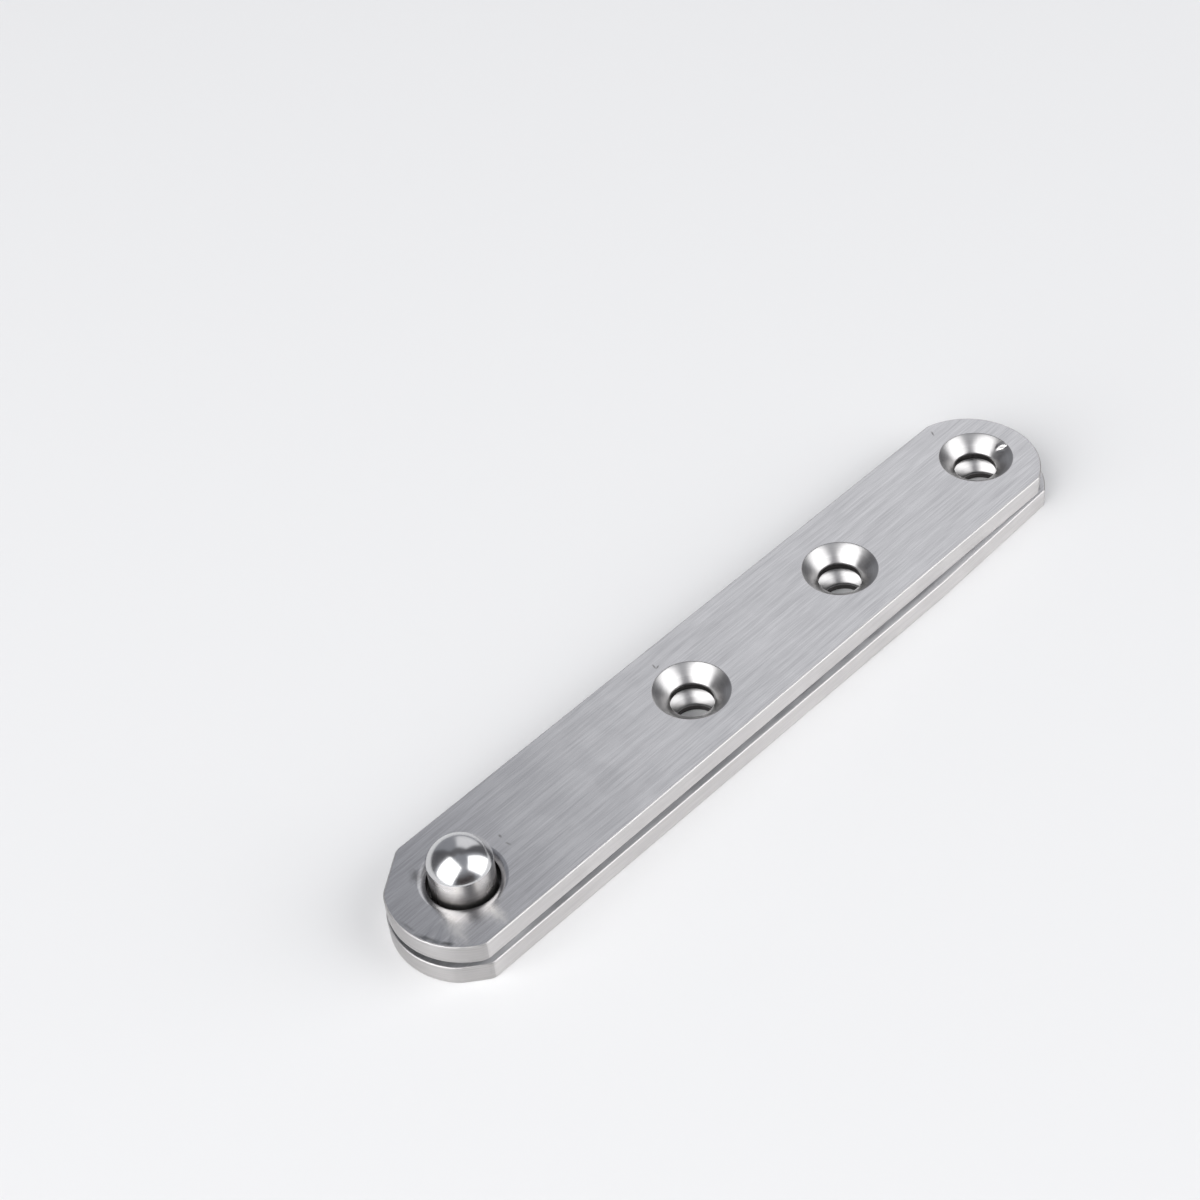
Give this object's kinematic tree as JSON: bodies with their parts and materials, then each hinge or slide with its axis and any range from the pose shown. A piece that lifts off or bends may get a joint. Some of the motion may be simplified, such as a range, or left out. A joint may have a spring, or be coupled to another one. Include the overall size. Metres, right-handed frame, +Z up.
{
  "type": "pivot door hinge",
  "caption": "Pivot door hinge: flat round-ended leaves stacked on a domed pin with a thrust washer between. The loose leaf turns on the pin and lifts off. Countersunk screw holes.",
  "frame": {"origin": "on the pin's axis, in the back face of the pin leaf, which lies on the surface below", "axes": "+X along the pin leaf to its far tip, +Z up the pin, +Y across the leaf"},
  "size_m": [0.1, 0.0169, 0.0113],
  "materials": {
    "leaf_steel": "brushed along the length, ground edges",
    "pin_steel": "satin shank, polished dome",
    "washer_steel": "plain turned"
  },
  "bodies": {
    "pin_leaf": {"pin_leaf": "leaf_steel", "pivot_pin": "pin_steel"},
    "thrust_washer": {"thrust_washer": "washer_steel"},
    "loose_leaf": {"loose_leaf": "leaf_steel"}
  },
  "joints": [
    {"name": "leaf_turn", "type": "hinge", "parent": "pin_leaf", "child": "thrust_washer", "pos_m": [0, 0, 0], "axis": [0, 0, 1], "continuous": true},
    {"name": "leaf_lift", "type": "slide", "parent": "thrust_washer", "child": "loose_leaf", "axis": [0, 0, 1], "range_m": [0, 0.012]}
  ]
}
